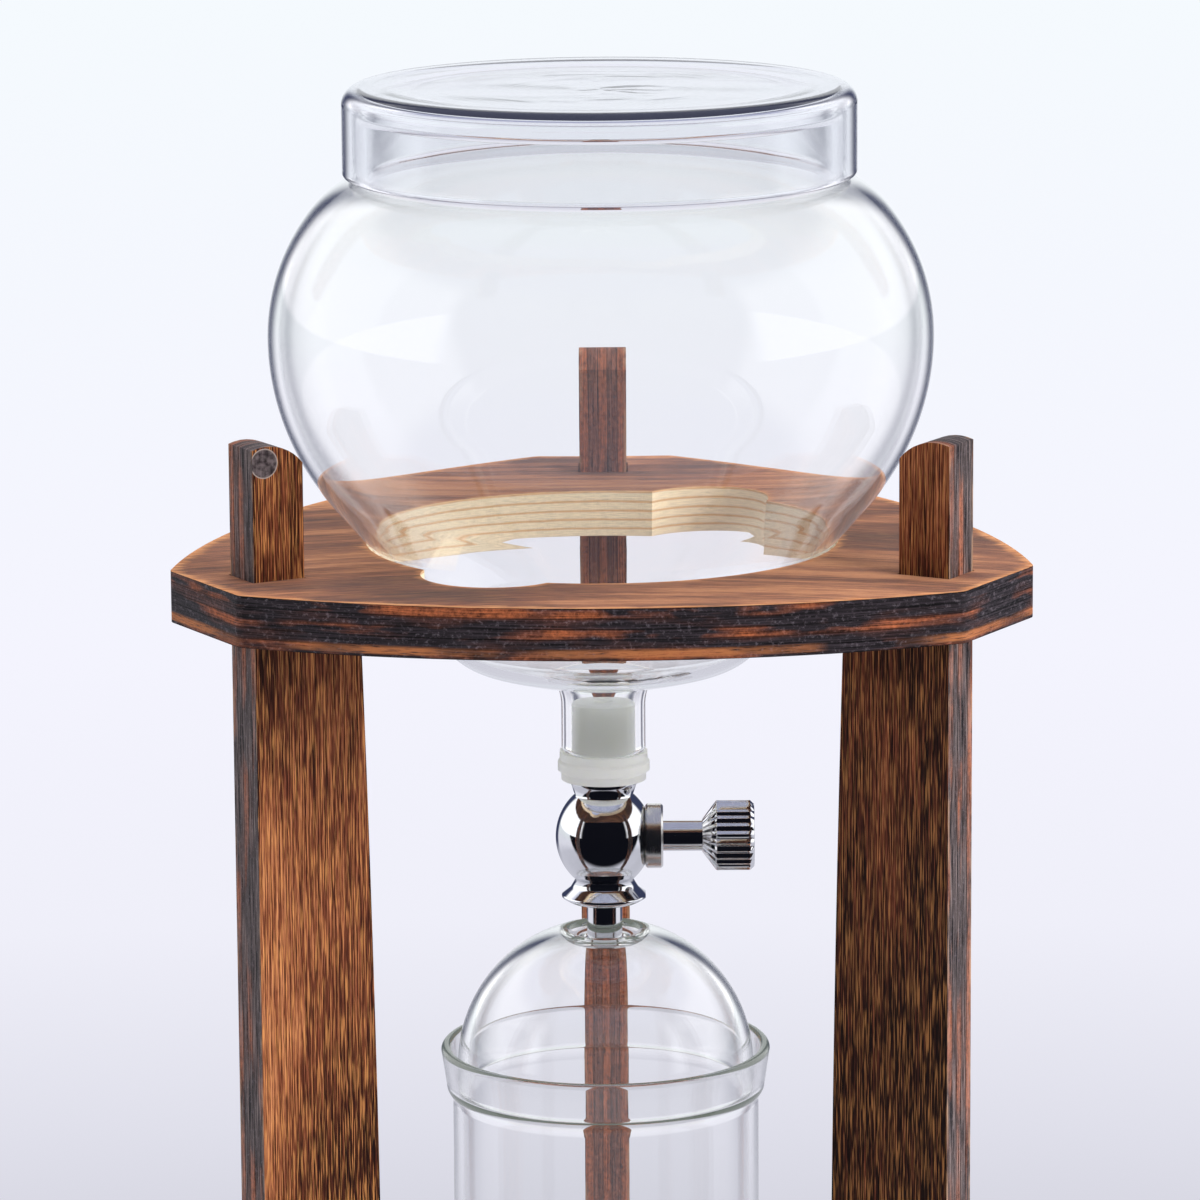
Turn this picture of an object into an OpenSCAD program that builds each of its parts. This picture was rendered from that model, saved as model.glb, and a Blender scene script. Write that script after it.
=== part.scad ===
// Cold drip coffee tower: a plywood stand that carries a glass water globe with a needle valve,
// a glass brew chamber and a glass server, one above the other on a single drip axis.
// Millimetres, +Z up. The origin is on the drip axis, on the surface that the stand rests on.
// The front is towards -Y, and the valve's knob points towards +X.

/* [Stand] */
// Thickness of every plywood board
board_t = 10; // [9:0.5:11]
// Height of the top plate's upper face
stand_h = 395; // [385:1:420]
// How far a plate's cut-off corner stands out past the leg
plate_rim = 8.3; // [7:0.1:12]
// Length of the straight edge at a plate's cut-off corner
corner_w = 29; // [24:1:34]
// Radius of a plate's rounded corners
corner_round = 3.5; // [1:0.5:6]
// Distance from the axis to the middle of a plate's curved side
side_r = 71; // [69:0.5:75]
// Distance from the axis to a leg's outer edge
leg_outer_r = 79.2; // [78:0.2:81]
// Radial width of a leg at its ends
leg_w = 22.7; // [20:0.1:23]
// How far a leg's inner edge bulges towards the axis at mid height
leg_bulge = 3; // [0.5:0.5:4]
// How deep the middle plate is let into a leg
leg_notch = 12; // [9:0.5:15]
// Radial width of the tenon at the top of a leg
tenon_w = 10.7; // [9:0.1:12]
// Height of the tenon above the top plate
tenon_h = 26; // [18:1:34]
// Gap between a board and the slot that it stands in
slot_gap = 0.3; // [0.1:0.1:0.5]
// Radius of the hole in the top plate
seat_hole_r = 46.5; // [43:0.5:49]
// Radius of the two finger notches in that hole's edge
notch_r = 14; // [10:0.5:15]
// Distance from the axis to the middle of a finger notch
notch_at = 41.5; // [40:0.5:43]
// Radius of the hole in the middle plate
shelf_hole_r = 24; // [21:0.5:26]

/* [Water globe] */
// Wall thickness of the blown glass
glass_t = 2; // [1.6:0.1:2.3]
// Widest outer radius of the water globe
globe_r = 65.2; // [63:0.2:68]
// Outer radius of the globe's mouth
mouth_r = 47.4; // [45:0.2:49]
// Height of the straight collar at the globe's mouth
mouth_h = 12; // [8:0.5:16]
// Radius of the globe's side just above its widest point
upper_bend = 40; // [34:0.5:44]
// Radius of the globe's side just below its widest point
lower_bend = 50; // [46:0.5:52]
// Outer radius of the globe's neck
neck_r = 8.35; // [8.1:0.05:9]
// Length of the straight part of the neck
neck_h = 9.35; // [8:0.01:14]

/* [Lids] */
// Gap between the globe's mouth and its lid, all round
lid_gap = 0.8; // [0.4:0.1:1.2]
// Wall thickness of the globe's lid
lid_t = 2; // [1.6:0.1:2.4]
// Free height between the globe's rim and the lid's underside
lid_room = 3; // [1:0.5:6]
// Outer radius of the dome's foot
dome_r = 29.55; // [28.8:0.05:29.6]
// Radius of the hole in the top of the dome
dome_hole_r = 4.3; // [4:0.1:5]

/* [Valve] */
// Widest radius of the valve body
ball_r = 9.65; // [9.4:0.05:10.5]
// Radius of the valve body's barrel-shaped side
ball_bend = 11.5; // [11:0.1:13]
// Outer radius of the outlet tube
outlet_r = 3.5; // [3.3:0.1:3.9]
// Length of the outlet tube below the valve body
outlet_len = 8.4; // [7:0.1:12]
// Radius of the valve stem
stem_r = 3.075; // [2.9:0.025:3.2]
// Outer radius of the packing nut
nut_r = 6.42; // [6.2:0.02:7]
// Radius of the knob
knob_r = 7; // [6:0.1:9]
// Length of the knob's ribbed part
knob_len = 7.5; // [5:0.5:12]
// Number of ribs round the knob
knob_ribs = 26; // [18:1:30]

/* [Brew chamber] */
// Outer radius of the chamber's straight body
chamber_r = 30.6; // [30.6:0.1:32]
// Length of the chamber's straight body
chamber_h = 72; // [60:1:85]
// Length of the drip stem under the chamber
stem_h = 26; // [20:1:36]
// Outer radius of the drip stem
drip_r = 7; // [6:0.5:9]

/* [Server] */
// Outer radius of the server's body
server_r = 42; // [40:0.5:42.5]
// Outer radius of the server's mouth
server_mouth_r = 34; // [32:0.5:35]
// Free height between the server's lid and the drip stem
drip_gap = 17; // [17:1:24]
// Radius of the glass rod that forms the handle
handle_rod_r = 4; // [3:0.5:5]
// Distance from the axis to the handle's outermost point
handle_reach = 70.5; // [66:0.5:71]

/* [Hidden] */
$fn = 96;

CHAR = [0.32, 0.2, 0.14];
GLASS = [0.8, 0.88, 0.9, 0.4];
CHROME = [0.8, 0.81, 0.83];
STEEL = [0.62, 0.63, 0.65];
SILICONE = [0.9, 0.9, 0.86];
BRASS = [0.75, 0.6, 0.3];
BLACK = [0.12, 0.12, 0.12];

LEG_ANGLES = [210, 330, 90];
NOTCH_ANGLES = [60, 240];
arc_step = 6;       // an arc is drawn with one straight piece for about this many degrees
seat_gap = 0.3;     // gap between glass and what it rests on
tight_gap = 0.05;   // gap all round a pushed-in piece
run_gap = 0.05;     // gap all round a piece that turns or slides in its bore
eps = 0.01;

// A path is a start point, a heading and steps. A step [r, turn] is an arc of radius r that turns
// left by turn degrees, or right where turn is negative. A step [length, 0] is a straight run.
function arc_end(p, h, r, turn) =
    p + sign(turn) * r * [sin(h + turn) - sin(h), cos(h) - cos(h + turn)];
function step_end(p, h, s) = s[1] == 0 ? p + s[0] * [cos(h), sin(h)] : arc_end(p, h, s[0], s[1]);
function step_points(p, h, s) = s[1] == 0 ? [p] :
    let (n = ceil(abs(s[1]) / arc_step)) [for (k = [0 : n - 1]) arc_end(p, h, s[0], s[1] * k / n)];
function walk(p, h, steps, i = 0) = i == len(steps) ? [p] :
    concat(step_points(p, h, steps[i]),
           walk(step_end(p, h, steps[i]), h + steps[i][1], steps, i + 1));
// How far a path gets, and the same path moved to its right-hand side by d
function travel(h, steps, i = 0) = i == len(steps) ? [0, 0] :
    step_end([0, 0], h, steps[i]) + travel(h + steps[i][1], steps, i + 1);
function beside(steps, d) = [for (s = steps) [s[0] + (s[1] == 0 ? 0 : sign(s[1]) * d), s[1]]];
function right_of(p, h, d) = p + d * [sin(h), -cos(h)];
function reversed(list) = [for (i = [len(list) - 1 : -1 : 0]) list[i]];

// A turned shell of even wall, from its outer outline
module turned_shell(p, h, steps, wall) {
    inner = walk(right_of(p, h, wall), h, beside(steps, wall));
    rotate_extrude() polygon(concat(walk(p, h, steps), reversed(inner)));
}
module ring(r_out, r_in, z0, z1) {
    rotate_extrude() translate([r_in, z0]) square([r_out - r_in, z1 - z0]);
}
module along_x(x, z) { translate([x, 0, z]) rotate([0, 90, 0]) children(); }

// Water globe: its steps run down from the rim. The mouth's fillet, two bends and the lower bend
// lead to the taper that rests in the top plate, and a softer bend leads on to the floor and neck.
shoulder_turn = 68;     // slope of the shoulder beside the mouth, from the vertical
upper_turn = 39;
taper_turn = 41;        // slope of the taper, from the vertical
taper_ease = 7;         // how much steeper the taper gets under the plate
taper_past = 1;         // how far the taper goes on past the plate's edge
floor_edge_turn = 38;
floor_turn = 11;
mouth_fillet = 1;
under_bend = 40;
floor_edge_bend = 12;
floor_bend = 79;
neck_fillet = 2.2;
neck_flare_bend = 10;   // the neck widens a little towards the floor
neck_flare_turn = 20;
shoulder_bend = (globe_r - mouth_r - mouth_fillet * (1 - cos(shoulder_turn))
    - upper_bend * (1 - cos(upper_turn))) / (cos(upper_turn) - cos(shoulder_turn));
globe_top_steps = [
    [mouth_h, 0], [mouth_fillet, shoulder_turn],
    [shoulder_bend, upper_turn - shoulder_turn], [upper_bend, -upper_turn]];
seat_touch_r = seat_hole_r - seat_gap / cos(taper_turn);
taper_start_r = globe_r - lower_bend * (1 - cos(taper_turn));
taper_seat_len = (taper_start_r - seat_touch_r) / sin(taper_turn);
globe_wide_z = stand_h + lower_bend * sin(taper_turn) + taper_seat_len * cos(taper_turn);
globe_mid_steps = [
    [lower_bend, -taper_turn], [taper_seat_len + taper_past, 0], [under_bend, taper_ease]];
lower_heading = -90 - taper_turn + taper_ease;
globe_floor_steps = [
    [floor_edge_bend, -floor_edge_turn], [floor_bend, -floor_turn],
    [neck_fillet, taper_turn - taper_ease + floor_edge_turn + floor_turn - neck_flare_turn],
    [neck_flare_bend, neck_flare_turn]];
lower_run = (neck_r - globe_r - travel(-90, globe_mid_steps)[0]
    - travel(lower_heading, globe_floor_steps)[0]) / cos(lower_heading);
globe_steps = concat(globe_top_steps, globe_mid_steps, [[lower_run, 0]], globe_floor_steps,
                     [[neck_h, 0]]);
globe_rim_z = globe_wide_z - travel(-90, globe_top_steps)[1];
neck_end_z = globe_rim_z + travel(-90, globe_steps)[1];
neck_bore_r = neck_r - glass_t;

// Lid of the globe: a cap with a dished top, which rests on the globe's shoulder
lid_in_r = mouth_r + lid_gap;
lid_out_r = lid_in_r + lid_t;
lid_rim_z = globe_rim_z - mouth_h - mouth_fillet * sin(shoulder_turn) + seat_gap;
lid_top_z = globe_rim_z + lid_room + lid_t;
lid_corner = 3.6;
lid_border = 10.6;       // width of the raised border between the dish and the rounded edge
dish_turn = 12;
dish_bend = 20;
dish_r = lid_out_r - lid_corner - lid_border;
dish_rise = 2 * dish_bend * (1 - cos(dish_turn));
lid_steps = [
    [dish_r, 0], [dish_bend, dish_turn], [dish_bend, -dish_turn],
    [lid_out_r - lid_corner - dish_r - 2 * dish_bend * sin(dish_turn), 0], [lid_corner, -90],
    [lid_top_z - lid_corner - lid_rim_z, 0]];

// Stopper and valve, stacked under the neck
flange_over = 0.75;     // how far the stopper's flange stands out past the neck
flange_r = neck_r + flange_over;
flange_h = 5.65;
flange_foot_h = 1.4;    // the narrower foot of the flange, on the valve
flange_foot_in = 0.7;
flange_collar_h = 1.6;  // the narrower collar of the flange, under the neck
flange_collar_in = 0.4;
flange_bevel = 0.5;
plug_h = 10.4;
inlet_r = 2.8;
inlet_wall = 0.6;
inlet_pocket = 4;
inlet_cover = 2.5;      // rubber that reaches past the end of the inlet tube
inlet_top_z = neck_end_z + plug_h - inlet_cover;
valve_top_z = neck_end_z - flange_h;
ball_above = 11.8;      // valve body above the needle's axis
ball_below = 13.1;      // valve body below the needle's axis
ball_z = valve_top_z - ball_above;
ball_offset = ball_r - ball_bend;
ball_half_h = 8.6;
cup_r = 6.6;
flare_r = 8.5;
valve_bottom_z = ball_z - ball_below;
outlet_wall = 1;
outlet_pocket = 3;
outlet_tip_z = valve_bottom_z - outlet_len;
function ball_edge(dz) = ball_offset + sqrt(ball_bend * ball_bend - dz * dz);

// Needle side of the valve, along X
boss_x = 8.2;               // flat on the valve body that the packing nut sits on
nut_len = 3.5;
spigot_r = 5.2;
spigot_len = 2.5;
spigot_gap = 0.2;
port_x = boss_x - spigot_len - spigot_gap;
seat_half = 1;              // half the length of the valve seat
seat_r = 2.5;
orifice_r = 0.8;
passage_x = 2.3;            // offset of the inlet and outlet passages from the axis
passage_r = 1;
needle_r = 1.6;
needle_tip_r = 0.35;
needle_tip_x = 0.85;
needle_cone_len = 2.7;
close_travel = 0.75;        // how far the needle moves in, from half open, until it is shut
stem_gap = 0.25;            // gap left in front of the stem when the valve is shut
stem_x = port_x + close_travel + stem_gap;
packing_r = 4.2;
packing_len = 2.5;
knob_x = 19.5;
knob_cone_len = 2.8;
knob_neck_r = stem_r + 0.3;
spindle_r = 2;
spindle_len = 6;
socket_len = 3.5;           // how far the needle reaches into the stem

// Dome lid: its steps run outwards from the hole, over the lip of the recess and down the side
dome_lip_turn = 50;
dome_shoulder_turn = 17;
dome_flat = 1;
dome_crease = 0.1;          // radius of the lip's tightest inside bend
dome_lip_bend = glass_t + dome_crease;
dome_foot_h = 4.5;
dome_top_steps = [
    [dome_flat, 0], [dome_lip_bend, dome_lip_turn],
    [dome_lip_bend, -dome_lip_turn - dome_shoulder_turn]];
dome_bend = (dome_r - dome_hole_r - travel(0, dome_top_steps)[0]) / (1 - sin(dome_shoulder_turn));
dome_steps = concat(dome_top_steps,
                    [[dome_bend, dome_shoulder_turn - 90], [dome_foot_h, 0]]);
outlet_reach = 1.2;         // how far the outlet tube reaches into the hole of the dome
dome_hole_z = outlet_tip_z + outlet_reach;
dome_foot_z = dome_hole_z + travel(0, dome_steps)[1];

// Brew chamber: its steps run down from the rim, over the ledge that the dome stands on
collar_h = 8;
collar_turn = 8;
ledge_turn = 30;
ledge_bend = 3;
funnel_bend = 14;
stem_bend = 6;
collar_steps = [[collar_h / cos(collar_turn), 0], [ledge_bend, -ledge_turn],
                [ledge_bend, ledge_turn + collar_turn]];
collar_r = chamber_r - travel(-90 - collar_turn, collar_steps)[0];
collar_end_z = dome_foot_z + seat_gap;
chamber_rim_z = collar_end_z + collar_h;
filter_z = chamber_rim_z + travel(-90 - collar_turn, collar_steps)[1] - chamber_h;
funnel_run = (chamber_r - drip_r - (funnel_bend + stem_bend) * (1 - cos(45))) / sin(45);
chamber_steps = concat(collar_steps, [
    [chamber_h, 0], [funnel_bend, -45], [funnel_run, 0], [stem_bend, 45], [stem_h, 0]]);
drip_tip_z = chamber_rim_z + travel(-90 - collar_turn, chamber_steps)[1];
shelf_touch_r = shelf_hole_r - seat_gap / cos(45);
shelf_top_z = filter_z - funnel_bend * sin(45)
    - (chamber_r - funnel_bend * (1 - cos(45)) - shelf_touch_r);

// Filter at the foot of the chamber's straight body
filter_h = 5;
seal_out_r = chamber_r - glass_t - tight_gap;
seal_in_r = seal_out_r - 3;
frame_out_r = seal_in_r - tight_gap;
frame_in_r = frame_out_r - 2.5;
mesh_t = 0.8;

// Server, from the drip stem down to the base plate
lid_plate_t = 3.5;
server_lid_top_z = drip_tip_z - drip_gap;
server_rim_z = server_lid_top_z - lid_plate_t - seat_gap;
server_turn = 50;
server_neck_h = 7;
server_neck_bend = 9;
server_foot_bend = 10;
server_shoulder_bend = (server_r - server_mouth_r) / (1 - cos(server_turn)) - server_neck_bend;
server_neck_steps = [
    [server_neck_h, 0], [server_neck_bend, server_turn], [server_shoulder_bend, -server_turn]];
server_side_len = server_rim_z - board_t - seat_gap + travel(-90, server_neck_steps)[1]
    - server_foot_bend;
server_steps = concat(server_neck_steps, [
    [server_side_len, 0], [server_foot_bend, -90], [server_r - server_foot_bend, 0]]);
server_seal_r = 2;
handle_top_drop = 27;       // from the server's rim to the handle's upper arm
handle_low_rise = 25;       // from the base plate to the handle's lower arm
handle_top_z = server_rim_z - handle_top_drop;
handle_low_z = board_t + handle_low_rise;
handle_bend = 10;
drip_hole_gap = 2;
drip_hole_r = drip_r + drip_hole_gap;

// Stand
corner_r = leg_outer_r + plate_rim;
leg_inner_r = leg_outer_r - leg_w;
leg_notch_r = leg_inner_r - leg_bulge + leg_notch;
leg_top_z = stand_h - board_t;
tenon_crown_r = 9.5;        // radius of the rounded top of the tenon
tenon_crown_in = 3.2;       // from the leg's outer edge to the middle of that round
tenon_crown_at = leg_outer_r - tenon_crown_in;
screw_r = 2;
screw_len = 38;
screw_head_r = 4;
screw_head_h = 2.5;
screw_sink = 0.5;           // how far a screw's head lies under the base plate's lower face
screw_edge = 6;             // from a leg's edges to its screws
screw_spots = [leg_inner_r + screw_edge, leg_outer_r - screw_edge];

function polar(r, a) = [r * cos(a), r * sin(a)];

// Outline shared by the three plates: straight edges across the legs, and curved sides between.
// A rounded corner is cut off between the points where its circle touches the two edges.
module plate_outline() {
    chord_at = (corner_r + sqrt(3) * corner_w / 2) / 2;
    half_chord = (sqrt(3) * corner_r - corner_w / 2) / 2;
    sagitta = side_r - chord_at;
    bend = (half_chord * half_chord + sagitta * sagitta) / (2 * sagitta);
    bend_at = polar(side_r - bend, 60);
    round_x = corner_r - corner_round;
    reach = bend - corner_round;
    round_y = bend_at[1] + sqrt(reach * reach - (round_x - bend_at[0]) * (round_x - bend_at[0]));
    touch = bend_at + ([round_x, round_y] - bend_at) * bend / reach;
    difference() {
        intersection_for(a = LEG_ANGLES) intersection() {
            rotate(a) translate([-3 * corner_r, -2 * corner_r]) square(4 * corner_r);
            translate(polar(side_r - bend, a + 60)) circle(bend, $fn = 360);
        }
        for (a = LEG_ANGLES) rotate(a) for (side = [0, 1]) mirror([0, side, 0])
            polygon([[corner_r, round_y], [corner_r + corner_round, round_y],
                     touch + corner_round * [1, 1], touch]);
    }
    for (a = LEG_ANGLES) rotate(a) for (y = [-round_y, round_y])
        translate([round_x, y]) circle(corner_round);
}
module slot_outline(r_in, r_out) {
    translate([r_in - slot_gap, -board_t / 2 - slot_gap])
        square([r_out - r_in + 2 * slot_gap, board_t + 2 * slot_gap]);
}
module plate(z, slot_in, slot_out) {
    color(CHAR) translate([0, 0, z]) linear_extrude(board_t) difference() {
        plate_outline();
        for (a = LEG_ANGLES) rotate(a) slot_outline(slot_in, slot_out);
        children();
    }
}
module top_plate() {
    plate(leg_top_z, leg_outer_r - tenon_w, leg_outer_r) {
        circle(seat_hole_r);
        for (a = NOTCH_ANGLES) translate(polar(notch_at, a)) circle(notch_r);
    }
}
module middle_plate() {
    plate(shelf_top_z - board_t, leg_notch_r, corner_r + 1) circle(shelf_hole_r);
}
module at_screws() {
    for (a = LEG_ANGLES) for (r = screw_spots) translate(polar(r, a)) children();
}
module base_plate() {
    color(CHAR) difference() {
        linear_extrude(board_t) plate_outline();
        at_screws() {
            translate([0, 0, -eps]) cylinder(screw_sink + 2 * eps, r = screw_head_r + slot_gap);
            translate([0, 0, screw_sink])
                cylinder(screw_head_h, screw_head_r + slot_gap, screw_r + slot_gap);
            cylinder(board_t + eps, r = screw_r + slot_gap);
        }
    }
}
module screw() {
    recess = [screw_head_r * 1.2, 0.9, 1.4];
    difference() {
        rotate_extrude() polygon([
            [0, screw_sink], [screw_head_r, screw_sink], [screw_r, screw_sink + screw_head_h],
            [screw_r, screw_len - screw_r], [0, screw_len]]);
        for (a = [0, 90]) rotate(a) translate([0, 0, screw_sink]) cube(recess, center = true);
    }
}
module base_screws() {
    color(STEEL) at_screws() screw();
}

// A leg, drawn as it stands: X is the distance from the axis and Y the height
module leg_outline() {
    half_h = (leg_top_z - board_t) / 2;
    edge_steps = 24;
    crown_z = stand_h + tenon_h - tenon_crown_r;
    difference() {
        polygon(concat(
            [[leg_outer_r, board_t], [leg_outer_r, leg_top_z]],
            [for (i = [edge_steps : -1 : 0]) let (t = 2 * i / edge_steps - 1)
                [leg_inner_r - leg_bulge * (1 - t * t), board_t + half_h * (1 + t)]]));
        translate([0, shelf_top_z - board_t]) square([leg_notch_r, board_t + slot_gap]);
    }
    translate([leg_outer_r - tenon_w, leg_top_z - eps]) square([tenon_w, crown_z - leg_top_z + eps]);
    intersection() {
        translate([leg_outer_r - tenon_w, crown_z - eps]) square([tenon_w, tenon_crown_r + eps]);
        translate([tenon_crown_at, crown_z]) circle(tenon_crown_r);
    }
}
module leg(a) {
    color(CHAR) rotate(a) difference() {
        rotate([90, 0, 0]) linear_extrude(board_t, center = true) leg_outline();
        for (r = screw_spots)
            translate([r, 0, board_t - eps]) cylinder(screw_len - board_t + 1, r = screw_r + tight_gap);
    }
}
module leg_left() { leg(LEG_ANGLES[0]); }
module leg_right() { leg(LEG_ANGLES[1]); }
module leg_back() { leg(LEG_ANGLES[2]); }

module water_globe() {
    color(GLASS) turned_shell([mouth_r, globe_rim_z], -90, globe_steps, glass_t);
}
module globe_lid() {
    color(GLASS) turned_shell([0, lid_top_z - dish_rise], 0, lid_steps, lid_t);
}
module stopper() {
    plug_r = neck_bore_r - tight_gap;
    hole_r = inlet_r + tight_gap;
    mouth = inlet_r - 0.8;
    top = neck_end_z + plug_h;
    foot_r = flange_r - flange_foot_in;
    foot_z = valve_top_z + flange_foot_h;
    collar_r = flange_r - flange_collar_in;
    collar_z = neck_end_z - flange_collar_h;
    color(SILICONE) rotate_extrude() polygon([
        [hole_r, valve_top_z], [foot_r, valve_top_z], [foot_r, foot_z],
        [flange_r, foot_z + flange_bevel], [flange_r, collar_z - flange_bevel],
        [collar_r, collar_z], [collar_r, neck_end_z], [plug_r, neck_end_z],
        [plug_r, top - 0.5], [plug_r - 0.5, top], [mouth, top], [mouth, inlet_top_z + tight_gap],
        [hole_r, inlet_top_z + tight_gap]]);
}
module inlet_tube() {
    color(STEEL) ring(inlet_r, inlet_r - inlet_wall, valve_top_z - inlet_pocket, inlet_top_z);
}
module valve_body() {
    lip = valve_bottom_z + 0.9;
    pocket_z = valve_top_z - inlet_pocket;
    outlet_z = valve_bottom_z + outlet_pocket;
    color(CHROME) difference() {
        rotate_extrude() polygon(concat(
            [[0, valve_bottom_z], [flare_r - 1.5, valve_bottom_z], [flare_r, lip],
             [flare_r, lip + 0.5], [cup_r, lip + 2]],
            [for (i = [-8 : 8]) let (dz = ball_half_h * i / 8) [ball_edge(dz), ball_z + dz]],
            [[cup_r, valve_top_z - 1], [cup_r, valve_top_z], [0, valve_top_z]]));
        translate([0, 0, pocket_z]) cylinder(inlet_pocket + eps, r = inlet_r + tight_gap);
        translate([0, 0, pocket_z - 1]) cylinder(1 + eps, r = inlet_r + tight_gap);
        translate([passage_x, 0, ball_z]) cylinder(pocket_z - ball_z, r = passage_r);
        translate([-passage_x, 0, outlet_z - eps]) cylinder(ball_z - outlet_z, r = passage_r);
        translate([0, 0, valve_bottom_z - eps])
            cylinder(outlet_pocket + eps, r = outlet_r + tight_gap);
        along_x(-passage_x - passage_r, ball_z) cylinder(passage_x + port_x, r = passage_r + 0.5);
        along_x(-seat_half, ball_z) cylinder(port_x + seat_half, r = seat_r + tight_gap);
        along_x(port_x, ball_z) cylinder(ball_r, r = spigot_r + tight_gap);
        along_x(boss_x, ball_z) cylinder(ball_r, r = nut_r + 1);
    }
}
module valve_seat() {
    color(BRASS) along_x(-seat_half, ball_z) ring(seat_r, orifice_r, 0, 2 * seat_half);
}
module outlet_tube() {
    color(CHROME)
        ring(outlet_r, outlet_r - outlet_wall, outlet_tip_z, valve_bottom_z + outlet_pocket);
}
module packing_nut() {
    bore_r = stem_r + run_gap;
    recess = spigot_len + 2;
    chamfer = 0.4;
    color(CHROME) along_x(boss_x - spigot_len, ball_z) rotate_extrude() polygon([
        [packing_r + tight_gap, 0], [spigot_r, 0], [spigot_r, spigot_len],
        [nut_r - chamfer, spigot_len], [nut_r, spigot_len + chamfer],
        [nut_r, spigot_len + nut_len - chamfer], [nut_r - chamfer, spigot_len + nut_len],
        [bore_r, spigot_len + nut_len], [bore_r, recess], [packing_r + tight_gap, recess]]);
}
module packing_ring() {
    color(BLACK) along_x(boss_x + 2 - packing_len, ball_z)
        ring(packing_r, stem_r + run_gap, 0, packing_len);
}
module valve_needle() {
    color(STEEL) along_x(needle_tip_x, ball_z) rotate_extrude() polygon([
        [0, 0], [needle_tip_r, 0], [needle_r, needle_cone_len],
        [needle_r, stem_x + socket_len - needle_tip_x - tight_gap],
        [0, stem_x + socket_len - needle_tip_x - tight_gap]]);
}
module valve_stem() {
    socket_r = needle_r + run_gap;
    color(STEEL) along_x(stem_x, ball_z) rotate_extrude() polygon([
        [socket_r, 0], [stem_r, 0], [stem_r, knob_x - stem_x], [spindle_r, knob_x - stem_x],
        [spindle_r, knob_x - stem_x + spindle_len], [0, knob_x - stem_x + spindle_len],
        [0, socket_len], [socket_r, socket_len]]);
}
module knob() {
    rib_h = 0.45;
    end_chamfer = 0.8;
    color(CHROME) along_x(knob_x, ball_z) difference() {
        intersection() {
            rotate_extrude() polygon([
                [0, 0], [knob_neck_r, 0], [knob_r, knob_cone_len],
                [knob_r, knob_cone_len + knob_len - end_chamfer],
                [knob_r - end_chamfer, knob_cone_len + knob_len], [0, knob_cone_len + knob_len]]);
            translate([0, 0, -eps]) linear_extrude(knob_cone_len + knob_len + 2 * eps)
                polygon([for (i = [0 : knob_ribs - 1]) for (k = [-0.3, -0.15, 0.15, 0.3])
                    polar(knob_r + (abs(k) < 0.2 ? 1 : -rib_h), (i + k) * 360 / knob_ribs)]);
        }
        translate([0, 0, -eps]) cylinder(spindle_len + 2 * eps, r = spindle_r + tight_gap);
    }
}

module dome_lid() {
    color(GLASS) turned_shell([dome_hole_r, dome_hole_z], 0, dome_steps, glass_t);
}
module brew_chamber() {
    color(GLASS)
        turned_shell([collar_r, chamber_rim_z], -90 - collar_turn, chamber_steps, glass_t);
}
module filter_seal() {
    groove = 1;
    color(SILICONE) rotate_extrude() polygon([
        [seal_in_r, filter_z], [seal_out_r - groove, filter_z], [seal_out_r, filter_z + groove],
        [seal_out_r, filter_z + filter_h - groove], [seal_out_r - groove, filter_z + filter_h],
        [seal_in_r, filter_z + filter_h]]);
}
module filter_frame() {
    color(STEEL) difference() {
        ring(frame_out_r, frame_in_r, filter_z, filter_z + filter_h);
        ring(frame_in_r + 1, frame_in_r - 1, filter_z + 1, filter_z + 1 + mesh_t + tight_gap);
    }
}
module filter_mesh() {
    color(STEEL) translate([0, 0, filter_z + 1]) cylinder(mesh_t, r = frame_in_r + 1 - tight_gap);
}

module server_handle() {
    out = handle_reach - handle_rod_r;
    root = server_r - 1;
    rotate([0, 0, -90]) {
        for (z = [handle_low_z, handle_top_z])
            along_x(root, z) cylinder(out - handle_bend - root, r = handle_rod_r, $fn = 48);
        translate([out, 0, handle_low_z + handle_bend])
            cylinder(handle_top_z - handle_low_z - 2 * handle_bend, r = handle_rod_r, $fn = 48);
        for (k = [0, 1])
            translate([out - handle_bend, 0,
                       k == 0 ? handle_low_z + handle_bend : handle_top_z - handle_bend])
                rotate([90, 0, 0]) rotate([0, 0, k == 0 ? -90 : 0])
                    rotate_extrude(angle = 90) translate([handle_bend, 0])
                        circle(handle_rod_r, $fn = 48);
    }
}
module server() {
    color(GLASS) {
        turned_shell([server_mouth_r, server_rim_z], -90, server_steps, glass_t);
        server_handle();
    }
}
module server_lid() {
    plug_out = server_mouth_r - glass_t - server_seal_r;
    plug_wall = 2.5;
    plug_h = 6;
    lip = server_rim_z + seat_gap;
    color(BLACK) rotate_extrude() polygon([
        [drip_hole_r, lip], [plug_out - plug_wall, lip], [plug_out - plug_wall, lip - plug_h],
        [plug_out, lip - plug_h], [plug_out, lip], [server_mouth_r + 1, lip],
        [server_mouth_r + 1, server_lid_top_z - 1], [server_mouth_r, server_lid_top_z],
        [drip_hole_r + 2, server_lid_top_z], [drip_hole_r, server_lid_top_z - 2]]);
}
module server_lid_seal() {
    color(SILICONE) ring(server_mouth_r - glass_t - 2 * tight_gap,
        server_mouth_r - glass_t - server_seal_r + tight_gap, server_rim_z - 4, server_rim_z - 1);
}

top_plate();
middle_plate();
base_plate();
leg_left();
leg_right();
leg_back();
base_screws();
water_globe();
globe_lid();
stopper();
inlet_tube();
valve_body();
valve_seat();
outlet_tube();
packing_nut();
packing_ring();
valve_needle();
valve_stem();
knob();
dome_lid();
brew_chamber();
filter_frame();
filter_mesh();
filter_seal();
server();
server_lid();
server_lid_seal();
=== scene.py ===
"""Looks of the cold drip coffee tower: charred plywood, clear blown glass and a chromed needle valve."""

import math

import bmesh
import bpy
import numpy as np
from mathutils import Matrix, Vector

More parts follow.
